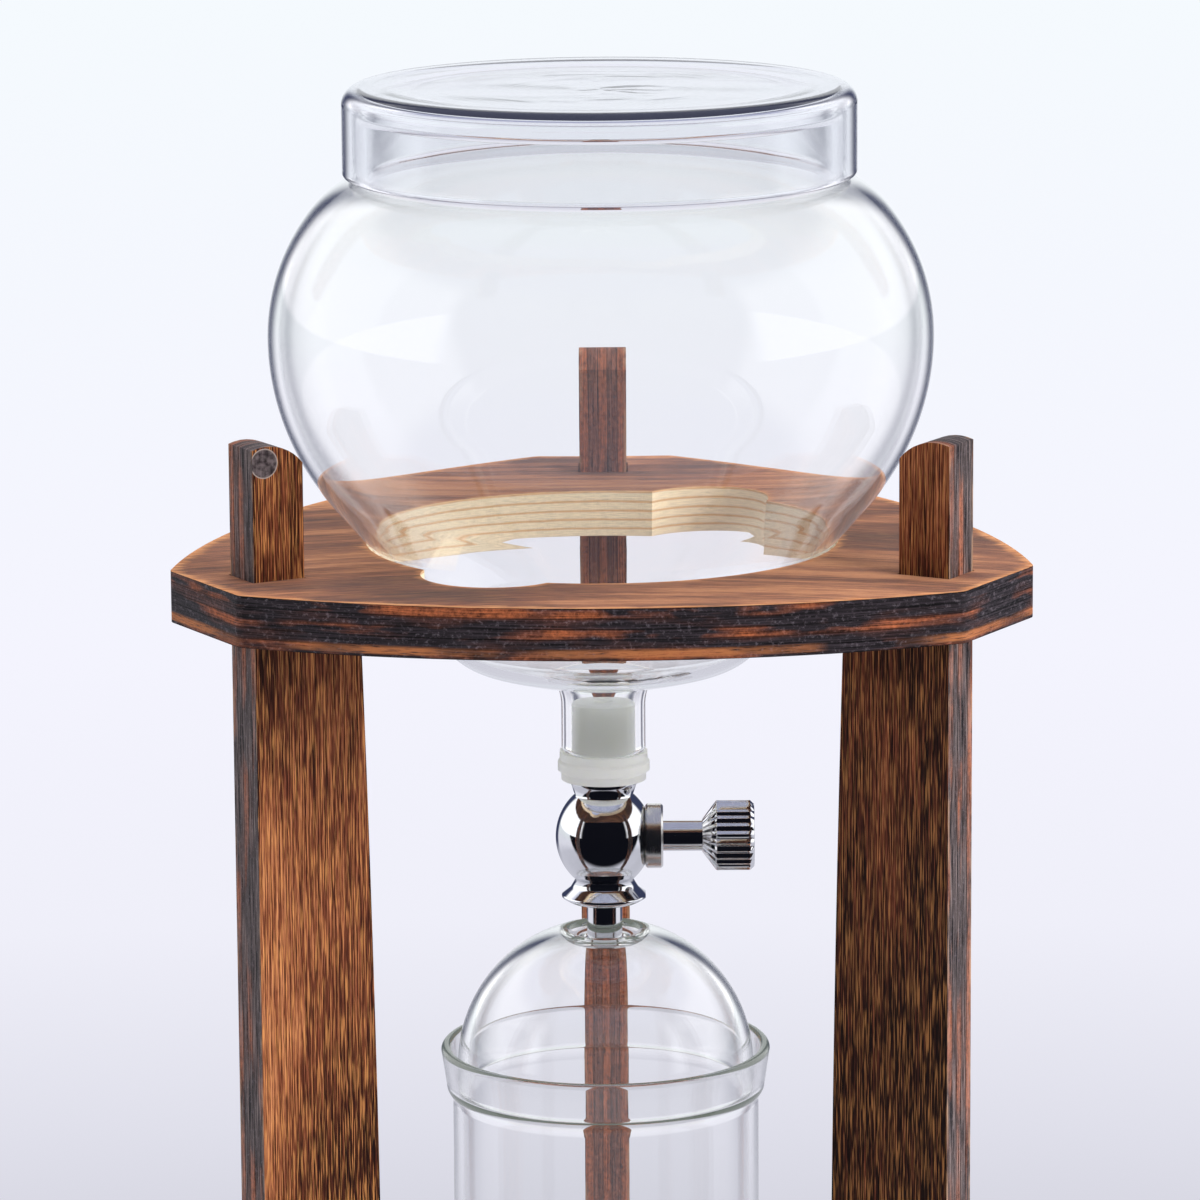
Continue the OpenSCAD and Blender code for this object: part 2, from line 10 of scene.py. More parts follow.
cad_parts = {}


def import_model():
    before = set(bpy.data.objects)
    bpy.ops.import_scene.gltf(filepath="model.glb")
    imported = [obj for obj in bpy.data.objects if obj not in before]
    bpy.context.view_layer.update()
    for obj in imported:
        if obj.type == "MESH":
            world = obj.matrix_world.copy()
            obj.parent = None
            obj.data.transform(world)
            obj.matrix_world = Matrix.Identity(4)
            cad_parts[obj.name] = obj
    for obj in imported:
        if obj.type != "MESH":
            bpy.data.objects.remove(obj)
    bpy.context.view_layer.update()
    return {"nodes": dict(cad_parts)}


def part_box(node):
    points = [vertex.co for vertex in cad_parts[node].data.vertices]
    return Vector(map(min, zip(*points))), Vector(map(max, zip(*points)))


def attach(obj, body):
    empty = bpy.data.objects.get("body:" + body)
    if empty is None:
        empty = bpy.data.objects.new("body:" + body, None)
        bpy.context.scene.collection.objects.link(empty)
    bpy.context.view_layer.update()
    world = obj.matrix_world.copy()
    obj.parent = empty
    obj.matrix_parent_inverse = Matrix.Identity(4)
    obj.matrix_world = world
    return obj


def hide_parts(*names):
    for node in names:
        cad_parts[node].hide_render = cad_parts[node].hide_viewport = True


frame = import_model()
NODES = frame["nodes"]

MM = 0.001


def cosine(degrees):
    return math.cos(math.radians(degrees))


def sine(degrees):
    return math.sin(math.radians(degrees))


def polar(radius, degrees):
    return radius * cosine(degrees), radius * sine(degrees)


# ---------------------------------------------------------------- node trees
class Tree:
    """Builds one node tree. Sockets and plain values can be mixed in every call."""

    def __init__(self, tree):
        self.tree = tree
        tree.nodes.clear()

    def add(self, kind, inputs=None, out=0, **settings):
        """Adds a shader node and gives one of its outputs."""
        node = self.tree.nodes.new("ShaderNode" + kind)
        for key, value in settings.items():
            setattr(node, key, value)
        for key, value in (inputs or {}).items():
            self.put(node.inputs[key], value)
        return node.outputs[out]

    def put(self, socket, value):
        if isinstance(value, bpy.types.NodeSocket):
            self.tree.links.new(value, socket)
        elif socket.type == "RGBA" and len(value) == 3:
            socket.default_value = (*value, 1)
        else:
            socket.default_value = value

    # numbers
    def math(self, operation, a, b=0.0, c=0.0, clamp=False):
        return self.add("Math", {0: a, 1: b, 2: c}, operation=operation, use_clamp=clamp)

    def plus(self, a, b):
        return self.math("ADD", a, b)

    def minus(self, a, b):
        return self.math("SUBTRACT", a, b)

    def times(self, a, b):
        return self.math("MULTIPLY", a, b)

    def times_plus(self, a, b, c):
        return self.math("MULTIPLY_ADD", a, b, c)

    def larger(self, a, b):
        return self.math("MAXIMUM", a, b)

    def absolute(self, a):
        return self.math("ABSOLUTE", a)

    def hypot(self, a, b):
        return self.math("SQRT", self.plus(self.times(a, a), self.times(b, b)))

    def least(self, values):
        result = values[0]
        for value in values[1:]:
            result = self.math("MINIMUM", result, value)
        return result

    def span(self, value, low, high, to_low=0.0, to_high=1.0, smooth=False):
        """Maps low..high to to_low..to_high, held at the ends."""
        kind = "SMOOTHSTEP" if smooth else "LINEAR"
        inputs = {0: value, 1: low, 2: high, 3: to_low, 4: to_high}
        return self.add("MapRange", inputs, interpolation_type=kind, clamp=True)

    def either(self, factor, on, off):
        """on where the factor is 1, and off where it is 0."""
        return self.plus(self.times(factor, on), self.times(self.minus(1.0, factor), off))

    # colours
    def mix(self, factor, a, b):
        return self.add("Mix", {0: factor, 6: a, 7: b}, out=2, data_type="RGBA", clamp_factor=True)

    def dim(self, colour, level):
        """The colour times one number."""
        return self.add("VectorMath", {0: colour, 3: level}, operation="SCALE")

    def ramp(self, factor, stops):
        """A colour ramp. Its stops get their places first, and then their colours."""
        made = self.add("ValToRGB", {0: factor})
        elements = made.node.color_ramp.elements
        while len(elements) < len(stops):
            elements.new(0.5)
        for element, (place, _) in zip(elements, stops):
            element.position = place
        for element, (_, colour) in zip(elements, stops):
            element.color = (*colour, 1)
        return made

    # places
    def parts(self, vector):
        return tuple(self.add("SeparateXYZ", {0: vector}).node.outputs)

    def place(self):
        """The point's place at rest in the shared frame, in metres, as separate x, y and z."""
        return self.parts(self.add("TexCoord", out="Object"))

    def stretched(self, values, factors, layer=0.0):
        """A place to read noise at: each value times its factor, and the layer as the last number."""
        numbers = [self.times(value, factor) for value, factor in zip(values, factors)] + [layer]
        return self.add("CombineXYZ", dict(enumerate(numbers[:3])))

    def noise(self, at, detail=3.0, roughness=0.5, distortion=0.0):
        inputs = {"Vector": at, "Scale": 1.0, "Detail": detail, "Roughness": roughness}
        return self.add("TexNoise", {**inputs, "Distortion": distortion})

    # surfaces
    def bump(self, height, distance, strength):
        return self.add("Bump", {"Strength": strength, "Distance": distance, "Height": height})

    def principled(self, **inputs):
        return self.add("BsdfPrincipled", {key.replace("_", " "): value for key, value in inputs.items()})

    def shader_mix(self, factor, off, on):
        return self.add("MixShader", {0: factor, 1: off, 2: on})

    def finish(self, surface, kind="Material", volume=None):
        """Ends the tree with its output node."""
        out = self.tree.nodes.new("ShaderNodeOutput" + kind)
        self.tree.links.new(surface, out.inputs["Surface"])
        if volume:
            self.tree.links.new(volume, out.inputs["Volume"])


def material(name):
    made = bpy.data.materials.new(name)
    made.use_nodes = True
    return made, Tree(made.node_tree)


def rgb(r, g, b):
    """A linear colour from 0..255 values as they look on a screen."""
    screen = (r / 255, g / 255, b / 255)
    return tuple(v / 12.92 if v <= 0.04045 else ((v + 0.055) / 1.055) ** 2.4 for v in screen)


# ---------------------------------------------------------------- wood
BOARD_T = 10 * MM
PLIES = 5
LEG_ANGLES = {"leg_left": 210, "leg_right": 330, "leg_back": 90}

# The plates' outline: three flat corners behind the legs, with bowed sides between them.
CORNER_R = 87.5 * MM            # drip axis to a corner's flat
CORNER_W = 29 * MM              # width of the flat
SIDE_R = 71 * MM                # drip axis to the middle of a side
# The top plate's hole and its finger notches.
HOLE_R = 46.5 * MM
NOTCH_R = 14 * MM
NOTCH_AT = 41.5 * MM
NOTCH_ANGLES = (60, 240)

FACING = (0.6, 0.8)             # how squarely a surface looks along an axis to count as a board's face
BOW = 2.4                       # how far the plates' grain bends, in metres per square metre
PLATE_LIGHT = 0.15              # how pale the plates' faces are
PLATE_GOLD = 0.3                # how strong their golden streaks are
WORN = (-1.2 * MM, -3.1 * MM)   # how near its rims a plate is worn bright, less what is ragged
RAGGED = -7 * MM                # how far the worn border reaches in and out
HOLE_WEAR = 0.9 * MM            # how much less the hole's rim is worn than the outer one
HOLE_WALL = (0.6 * MM, 0.3 * MM)        # distances from the hole's outline at which an edge is fresh wood
EDGE_REACH = 80 * MM                    # length along a plate's edge for each radian about the drip axis
LEG_RUBBED = (0.9 * MM, 0.1 * MM)       # distances from a leg's corners at which they are rubbed
UNDER_PLATE = (380 * MM, 330 * MM)      # heights at which a leg's pale outer side fades in
TENON_FOOT = (392 * MM, 400 * MM)       # heights at which a leg's pale top fades in
LEG_LOW = (270 * MM, 200 * MM)          # heights at which a leg's pale low part fades in
LEG_OUTER = (60 * MM, 77 * MM)          # distances from the axis at which its pale outer side fades in
PLUG_AT = (76.7 * MM, 417.8 * MM)       # round plug in the left leg's tenon: from the axis, and up
PLUG_R = 2.95 * MM

FACE_STOPS = [
    (0.0, rgb(24, 12, 10)), (0.3, rgb(68, 31, 20)), (0.6, rgb(122, 66, 42)), (1.0, rgb(194, 131, 87))]
GOLD = rgb(220, 152, 88)
# A grey-pink for the plates' faces: partly dust, partly painted sheen.
DUST_AND_SHEEN = rgb(148, 122, 114)
FRESH_DARK, FRESH_PALE = rgb(234, 186, 138), rgb(255, 234, 202)
RIM_LOW, RIM_HIGH = rgb(166, 98, 56), rgb(232, 174, 124)
CHAR_DARK, CHAR_PALE, CHAR_GRIT = rgb(5, 4, 6), rgb(58, 51, 57), rgb(106, 98, 106)
EMBER_DARK, EMBER_PALE = rgb(48, 22, 15), rgb(176, 98, 60)
ASH, ASH_SPECK = rgb(164, 146, 142), rgb(150, 142, 144)
BARE_PLY = rgb(158, 98, 60)
RUBBED = rgb(176, 140, 112)
CAP_DARK, CAP_PALE, CAP_RIM = rgb(40, 34, 36), rgb(98, 88, 90), rgb(150, 138, 132)


def distance_to(t, x, y, at):
    """Distance of the point from an upright axis."""
    return t.hypot(t.minus(x, at[0]), t.minus(y, at[1]))


def depth_in_plate(t, x, y):
    """How far a point lies inside the plates' outer outline."""
    chord = (CORNER_R + math.sqrt(3) * CORNER_W / 2) / 2
    half = (math.sqrt(3) * CORNER_R - CORNER_W / 2) / 2
    sag = SIDE_R - chord
    bend = (half * half + sag * sag) / (2 * sag)
    values = []
    for angle in LEG_ANGLES.values():
        ux, uy = polar(1, angle)
        values.append(t.minus(CORNER_R, t.plus(t.times(x, ux), t.times(y, uy))))
        values.append(t.minus(bend, distance_to(t, x, y, polar(SIDE_R - bend, angle + 60))))
    return t.least(values)


def depth_from_hole(t, x, y):
    """How far a point lies outside the top plate's hole and its two finger notches."""
    values = [t.minus(distance_to(t, x, y, (0, 0)), HOLE_R)]
    for angle in NOTCH_ANGLES:
        values.append(t.minus(distance_to(t, x, y, polar(NOTCH_AT, angle)), NOTCH_R))
    return t.least(values)


def grain(t, along, wide, seed):
    """Gives places to read noise at, stretched along and across the grain."""
    def at(stretch_along, stretch_wide, shift):
        return t.stretched((along, wide), (stretch_along, stretch_wide), seed + shift)

    return at


def face_colour(t, along, wide, seed, light, gold):
    """Brushed and singed face grain: long dark fibres with short golden streaks between them.

    light shifts the whole face between burnt (negative) and pale (positive).
    """
    at = grain(t, along, wide, seed)
    broad = t.noise(at(7, 34, 0), detail=4, roughness=0.6, distortion=0.6)
    fibre = t.noise(at(38, 2600, 3), detail=4, roughness=0.72, distortion=0.1)
    fine = t.noise(at(150, 5200, 7), detail=2, roughness=0.6)
    streak = t.noise(at(120, 4200, 11), detail=2, roughness=0.5)
    pore = t.noise(at(330, 5200, 17), detail=1)
    level = t.plus(t.times(broad, 0.75), t.times(fibre, 1.25))
    level = t.plus(t.times_plus(fine, 0.55, level), light)
    base = t.ramp(t.span(level, 1.02, 1.53), FACE_STOPS)
    colour = t.dim(base, t.span(pore, 0.30, 0.42, 0.5, 1.0))
    colour = t.mix(t.times(t.span(streak, 0.53, 0.62), gold), colour, GOLD)
    return colour, t.plus(t.times(fibre, 0.7), t.times(fine, 0.3))


def edge_colour(t, along, deep, seed, grey, red=0.0):
    """Burnt board edge: ply layers with ridges between them, grey ash and red-brown less burnt patches.

    grey is how strong the ash is, and red spreads the less burnt patches.
    """
    layer = t.times(deep, PLIES)
    end_grain = t.span(t.math("PINGPONG", t.plus(layer, 0.5), 1.0), 0.3, 0.7, smooth=True)
    at = grain(t, along, deep, seed)
    patch = t.noise(at(32, 1.6, 31), detail=3, roughness=0.6)
    ridge = t.noise(at(70, 34, 35), detail=4, roughness=0.7)
    grit = t.noise(at(900, 10, 37), detail=3, roughness=0.75)
    speck = t.noise(at(1300, 16, 43), detail=1)
    char = t.mix(t.span(ridge, 0.38, 0.7), CHAR_DARK, CHAR_PALE)
    char = t.mix(t.times(t.span(grit, 0.54, 0.74), 0.7), char, CHAR_GRIT)
    ember = t.mix(t.span(t.times_plus(grit, 0.4, t.times(ridge, 0.6)), 0.38, 0.62), EMBER_DARK, EMBER_PALE)
    by_layer = t.times_plus(end_grain, 0.85 - 2 * red, 0.15 + 2 * red)
    colour = t.mix(t.times(t.span(patch, 0.47 - red, 0.6 - red), by_layer), char, ember)
    colour = t.mix(t.times(t.span(ridge, 0.46, 0.62), grey), colour, ASH)
    seam = t.span(t.absolute(t.minus(t.math("FRACT", layer), 0.5)), 0.38, 0.5, 1.0, 0.3)
    colour = t.dim(colour, seam)
    colour = t.mix(t.times(t.span(speck, 0.68, 0.76), 0.1), colour, ASH_SPECK)
    height = t.plus(t.times(ridge, 0.8), t.times(grit, 0.5))
    return colour, t.times_plus(seam, 0.3, height)


def wood_surface(t, is_face, face, edge):
    """Ends a wood's tree. face and edge are each a colour and a height."""
    height = t.either(is_face, face[1], edge[1])
    t.finish(t.principled(
        Base_Color=t.mix(is_face, edge[0], face[0]), Roughness=t.span(height, 0.3, 0.8, 0.82, 0.55),
        Specular_IOR_Level=0.16, Normal=t.bump(height, 0.45 * MM, 0.9)))


def plate_face(t, x, y, edge_near, normal_z, seed):
    """A plate's top and underside: dust and painted sheen, burnt and pale areas, bright wear near its rims,
    painted shade below.
    """
    burn = t.noise(t.stretched((x, y), (14, 30), seed + 5), detail=4, roughness=0.55, distortion=0.8)
    bowed = t.times_plus(t.times(x, x), BOW, y)
    figure = t.noise(t.stretched((x, bowed), (9, 260), seed + 81), detail=4, roughness=0.6)
    burnt = t.span(burn, 0.36, 0.62, PLATE_LIGHT - 0.22, PLATE_LIGHT + 0.06)
    light = t.plus(burnt, t.span(figure, 0.34, 0.66, -0.19, 0.12))
    colour, height = face_colour(t, x, bowed, seed, light, PLATE_GOLD)
    ragged = t.noise(t.stretched((x, y), (110, 420), seed), detail=5, roughness=0.7)
    wear = t.span(t.times_plus(ragged, RAGGED, edge_near), *WORN)
    rim_grain = t.noise(grain(t, x, y, seed)(90, 1500, 61), detail=3)
    bright = t.mix(t.span(rim_grain, 0.35, 0.65), RIM_LOW, RIM_HIGH)
    # Partly dust, partly painted sheen: the faces are greyed towards a grey-pink.
    colour = t.mix(0.3, colour, DUST_AND_SHEEN)
    colour = t.mix(t.times(wear, 0.85), colour, bright)
    # Painted shade: faces that look down are darkened.
    return t.dim(colour, t.span(normal_z, -0.6, 0.0, 0.4, 1.0)), height


def bare_strip(t, edge, angle, deep, fibre, seed):
    """Lays a broken strip of bare wood along the edge, near its foot."""
    strip = t.times(t.span(deep, 0.24, 0.17), t.span(deep, 0.04, 0.08))
    broken = t.noise(t.stretched((angle,), (22,), seed))
    strip = t.times(strip, t.span(broken, 0.44, 0.54))
    return t.mix(t.times(strip, t.span(fibre, 0.3, 0.5)), edge, BARE_PLY)


def fresh_wood(t, angle, deep, fibre, seed):
    """Unburnt plies in the globe's hole, pale and darker in turn."""
    uneven = t.noise(t.stretched((angle, deep), (90, 6), seed + 75), detail=3)
    layer = t.times_plus(uneven, 0.45, t.times(deep, PLIES * 2))
    pale_ply = t.span(t.math("PINGPONG", layer, 1.0), 0.05, 0.4, smooth=True)
    return t.dim(t.mix(pale_ply, FRESH_DARK, FRESH_PALE), t.span(fibre, 0.3, 0.6, 0.78, 1.0))


def plate_wood(node, seed):
    """A plate: grain along X on its faces, ply layers on its edges and fresh wood in the globe's hole."""
    low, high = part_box(node)
    made, t = material("plywood_" + node)
    x, y, z = t.place()
    deep = t.times(t.minus(z, low.z), 1 / (high.z - low.z))
    normal_z = t.parts(t.add("NewGeometry", out="Normal"))[2]
    angle = t.times(t.math("ARCTAN2", y, x), EDGE_REACH)
    fibre = t.noise(t.stretched((angle, deep), (300, 40), seed + 71), detail=3)
    edge, edge_height = edge_colour(t, angle, deep, seed, 0.0)
    edge = bare_strip(t, edge, angle, deep, fibre, seed)
    edge_near = depth_in_plate(t, x, y)
    if node == "top_plate":
        hole = depth_from_hole(t, x, y)
        edge_near = t.least([edge_near, t.plus(hole, HOLE_WEAR)])
        edge = t.mix(t.span(hole, *HOLE_WALL), edge, fresh_wood(t, angle, deep, fibre, seed))
    face = plate_face(t, x, y, edge_near, normal_z, seed)
    wood_surface(t, t.span(t.absolute(normal_z), *FACING), face, (edge, edge_height))
    return made


def plug_cap(t, face, reach, z, turned, seed):
    """The round plug on one face of a leg's tenon, with a paler rim."""
    across, up = t.minus(reach, PLUG_AT[0]), t.minus(z, PLUG_AT[1])
    off = t.hypot(across, up)
    cap = t.noise(t.stretched((across, up), (900, 900), seed), detail=4)
    colour = t.mix(t.span(cap, 0.35, 0.65), CAP_DARK, CAP_PALE)
    colour = t.mix(t.span(off, PLUG_R - 0.35 * MM, PLUG_R - 0.15 * MM), colour, CAP_RIM)
    on_cap = t.times(t.span(off, PLUG_R, PLUG_R - 0.1 * MM), t.span(turned, *FACING))
    return t.mix(on_cap, face, colour)


def leg_wood(node, seed, light, gold, grey, pale_side=0.0, pale_top=0.0, pale_low=0.0, red=0.0, plug=False):
    """A leg: grain upwards on its faces, ply layers as upright stripes on its edges.

    light, gold, grey and red are as in face_colour and edge_colour. pale_side, pale_top and pale_low
    are added to light on the outer side, above the plate and low down.
    """
    made, t = material("plywood_" + node)
    x, y, z = t.place()
    c, s = polar(1, LEG_ANGLES[node])
    reach = t.plus(t.times(x, c), t.times(y, s))
    side = t.minus(t.times(y, c), t.times(x, s))
    deep = t.times_plus(side, 1 / BOARD_T, 0.5)
    normal = t.add("NewGeometry", out="Normal")
    turned = t.add("VectorMath", {0: normal, 1: (-s, c, 0)}, out="Value", operation="DOT_PRODUCT")
    outer = t.times(t.span(reach, *LEG_OUTER), t.span(z, *UNDER_PLATE))
    shift = t.times_plus(outer, pale_side, light)
    shift = t.times_plus(t.span(z, *TENON_FOOT), pale_top, shift)
    shift = t.times_plus(t.span(z, *LEG_LOW), pale_low, shift)
    face, face_height = face_colour(t, z, reach, seed, shift, gold)
    if plug:
        face = plug_cap(t, face, reach, z, turned, seed)
    edge, edge_height = edge_colour(t, z, deep, seed, grey, red)
    corner = t.minus(BOARD_T / 2, t.absolute(side))
    ragged = t.noise(t.stretched((x, y, z), (500, 500, 130)), detail=4)
    rubbed = t.times(t.span(corner, *LEG_RUBBED), t.span(ragged, 0.45, 0.62))
    edge = t.mix(t.times(rubbed, 0.7), edge, RUBBED)
    wood_surface(t, t.span(t.absolute(turned), *FACING), (face, face_height), (edge, edge_height))
    return made


# ---------------------------------------------------------------- glass, metal, rubber
GLASS_IOR = 1.47
GLOW_TURNS = 3.5                         # mirrorings inside a wall after which the glass shows its painted glow instead
OPEN_AIR = (0.97, 0.98, 0.975)          # what a shadow keeps of the lamps' light
DUST = (0.95, 0.95, 0.94)
MESH_PITCH = 0.7 * MM
MESH_OPEN = 0.55                        # height of the wires' wave below which the mesh is open


def clear_glass(name, painted_glow, tint=(0.72, 0.78, 0.74), density=16.0, wave=0.05 * MM):
    """Hand-blown borosilicate glass with slow waves in its surface, which lets the lamps' light through.

    The glow colour is painted light: the glass glows with it where light has gone round inside the wall for
    several turns.
    """
    made, t = material(name)
    at = t.place()
    slow = t.noise(t.stretched(at, (26, 26, 40)), detail=2, roughness=0.4)
    specks = t.noise(t.stretched(at, (900, 900, 900)), detail=2)
    glass = t.principled(Base_Color=t.mix(t.span(specks, 0.7, 0.8), (1, 1, 1), DUST), Roughness=0.0,
                         IOR=GLASS_IOR, Transmission_Weight=1.0, Normal=t.bump(slow, wave, 0.5))
    path = t.add("LightPath").node.outputs
    # Painted light: after several mirrorings inside the wall the glass glows with a set colour.
    inside = t.math("GREATER_THAN", path["Glossy Depth"], GLOW_TURNS)
    glass = t.shader_mix(inside, glass, t.add("Emission", {0: painted_glow}))
    clear = t.add("BsdfTransparent", {0: OPEN_AIR})
    depth = t.add("VolumeAbsorption", {"Color": tint, "Density": density})
    t.finish(t.shader_mix(path["Is Shadow Ray"], glass, clear), volume=depth)
    return made


def metal(name, colour, rough, smudge, brushed=0.0):
    """Polished or brushed metal with faint smudges and fine scratches."""
    made, t = material(name)
    at = t.place()
    spots = t.noise(t.stretched(at, (160, 160, 160)), detail=4)
    lines = t.noise(t.stretched(at, (9000, 300, 300)), detail=2)
    roughness = t.plus(t.span(spots, 0.45, 0.75, rough, rough + smudge), t.times(lines, brushed))
    tone = t.mix(t.span(spots, 0.4, 0.7), colour, tuple(0.9 * v for v in colour))
    height = t.plus(t.times(lines, 0.6), t.times(spots, 0.4))
    t.finish(t.principled(Base_Color=tone, Roughness=roughness, Metallic=1.0,
                          Normal=t.bump(height, 0.02 * MM, 0.25)))
    return made


def silicone():
    """Milky rubber that lets some light through."""
    made, t = material("silicone_milky")
    cloud = t.noise(t.stretched(t.place(), (220, 220, 220)), detail=3)
    colour = t.mix(cloud, rgb(246, 247, 241), rgb(254, 254, 250))
    rubber = t.principled(
        Base_Color=colour, Roughness=t.span(cloud, 0.3, 0.7, 0.32, 0.46), IOR=1.41, Transmission_Weight=0.15,
        Subsurface_Weight=0.8, Subsurface_Radius=(0.006, 0.006, 0.005), Subsurface_Scale=1.0,
        Normal=t.bump(cloud, 0.08 * MM, 0.4))
    t.finish(t.shader_mix(0.45, rubber, t.add("BsdfTranslucent", {0: colour})))
    return made


def plastic(name, colour, rough):
    """Matt plastic or hard rubber with a fine moulded texture."""
    made, t = material(name)
    fleck = t.noise(t.stretched(t.place(), (1500, 1500, 1500)), detail=3)
    tone = t.mix(fleck, colour, tuple(1.25 * v for v in colour))
    t.finish(t.principled(Base_Color=tone, Roughness=t.span(fleck, 0.3, 0.7, rough, rough + 0.12),
                          Normal=t.bump(fleck, 0.03 * MM, 0.5)))
    return made


def woven_steel():
    """Filter mesh: two sets of crossing wires with open holes between them."""
    made, t = material("woven_steel")
    x, y, _ = t.place()

    def wire(value):
        return t.absolute(t.math("SINE", t.times(value, math.pi / MESH_PITCH)))

    height = t.larger(wire(x), wire(y))
    hole = t.math("LESS_THAN", height, MESH_OPEN)
    wires = t.principled(Base_Color=(0.6, 0.6, 0.62), Roughness=t.span(height, 0.5, 1.0, 0.45, 0.25),
                         Metallic=1.0, Normal=t.bump(height, 0.2 * MM, 1.0))
    t.finish(t.shader_mix(hole, wires, t.add("BsdfTransparent")))
    return made


# Each glass's painted glow: pale for the globe, brew and server glass, dark for the lid.
GLOBE_GLASS = clear_glass("glass_globe", painted_glow=rgb(222, 224, 234))
LID_GLASS = clear_glass("glass_lid", painted_glow=rgb(70, 72, 84), tint=(0.74, 0.76, 0.88), density=90.0)
BREW_GLASS = clear_glass("glass_brew", painted_glow=rgb(122, 128, 122), wave=0.12 * MM)
SERVER_GLASS = clear_glass("glass_server", painted_glow=rgb(196, 200, 202))
CHROME = metal("chrome_polished", (0.80, 0.81, 0.83), rough=0.04, smudge=0.07)
NICKEL = metal("nickel_brushed", (0.80, 0.79, 0.77), rough=0.16, smudge=0.1, brushed=0.12)
STEEL = metal("steel_satin", (0.62, 0.61, 0.60), rough=0.22, smudge=0.12, brushed=0.15)
BRASS = metal("brass_turned", (0.80, 0.60, 0.30), rough=0.2, smudge=0.1)
SCREW = metal("screw_zinc", (0.55, 0.55, 0.57), rough=0.3, smudge=0.15)
MILKY = silicone()
DARK_PACKING = plastic("packing_rubber", (0.03, 0.03, 0.03), rough=0.55)
BLACK = plastic("black_plastic_matt", (0.025, 0.025, 0.027), rough=0.42)
MESH = woven_steel()

FINISH = {
    "top_plate": plate_wood("top_plate", 0.0),
    "middle_plate": plate_wood("middle_plate", 101.0),
    "base_plate": plate_wood("base_plate", 202.0),
    "leg_left": leg_wood("leg_left", 303.0, light=-0.12, gold=0.5, grey=0.5, pale_side=0.14, pale_low=0.16,
                         plug=True),
    "leg_right": leg_wood("leg_right", 404.0, light=-0.25, gold=0.32, grey=0.5, pale_top=0.2),
    "leg_back": leg_wood("leg_back", 505.0, light=-0.02, gold=0.45, grey=0.1, red=0.19),
    "base_screws": SCREW,
    "water_globe": GLOBE_GLASS, "globe_lid": LID_GLASS, "dome_lid": BREW_GLASS,
    "brew_chamber": BREW_GLASS, "server": SERVER_GLASS,
    "stopper": MILKY, "filter_seal": MILKY, "server_lid_seal": MILKY,
    "inlet_tube": STEEL, "filter_frame": STEEL, "valve_needle": STEEL, "filter_mesh": MESH,
    "valve_body": CHROME, "outlet_tube": CHROME, "knob": CHROME, "valve_stem": CHROME, "packing_nut": NICKEL,
    "valve_seat": BRASS, "packing_ring": DARK_PACKING, "server_lid": BLACK,
}
for node, finish in FINISH.items():
    NODES[node].data.materials[0] = finish


# ---------------------------------------------------------------- turned pieces
# An outline is a start point (distance from the axis, height), a heading in degrees and steps, in
# millimetres: (radius, turn) is an arc that turns left by turn degrees, (length, 0) a straight run.
ARC_STEP = 1.5          # degrees
RUN_STEP = 4.0          # millimetres
AROUND = 240            # points around a piece
WALL = 2.0              # the glass, in millimetres


def arc_end(at, heading, radius, turn):
    """Where an arc ends that starts at a point with a heading."""
    bend = math.copysign(1, turn) * radius
    after = heading + turn
    return at[0] + bend * (sine(after) - sine(heading)), at[1] + bend * (cosine(heading) - cosine(after))


def run_end(at, heading, length):
    """Where a straight run ends."""
    return at[0] + length * cosine(heading), at[1] + length * sine(heading)


def step_end(at, heading, step):
    """Where a step of an outline ends, arc or run."""
    return arc_end(at, heading, *step) if step[1] else run_end(at, heading, step[0])


def walk(at, heading, steps):
    """The outline's points."""
    points = []
    for size, turn in steps:
        count = max(1, math.ceil(abs(turn) / ARC_STEP if turn else size / RUN_STEP))
        for k in range(count):
            part = (size, turn * k / count) if turn else (size * k / count, 0)
            points.append(step_end(at, heading, part) if k else at)
        at, heading = step_end(at, heading, (size, turn)), heading + turn
    return points + [at]


def travel(heading, steps):
    """How far the steps lead outwards and up."""
    return walk((0, 0), heading, steps)[-1]


def beside(steps, gap):
    """The same steps, walked with a gap on the right."""
    return [(size + (math.copysign(gap, turn) if turn else 0), turn) for size, turn in steps]


def shell_outline(at, heading, steps, wall):
    """A wall of even thickness to the right of the outline, with fire-rounded rims at its ends."""
    from_axis = at[0] == 0
    lip = wall / 2
    first, *between, last = steps
    if not from_axis:
        at = run_end(at, heading, lip)
        first = (first[0] - lip, 0)
    steps = [first, *between, (last[0] - lip, 0)]
    outer = walk(at, heading, steps)
    inner_at = run_end(at, heading - 90, wall)
    inner = walk(inner_at, heading, beside(steps, wall))[::-1]
    end_heading = heading + sum(turn for size, turn in steps)
    closed = outer[:-1] + walk(outer[-1], end_heading, [(lip, -180)])[:-1] + inner
    if not from_axis:
        closed = closed[:-1] + walk(inner_at, heading + 180, [(lip, -180)])[:-1]
    return closed


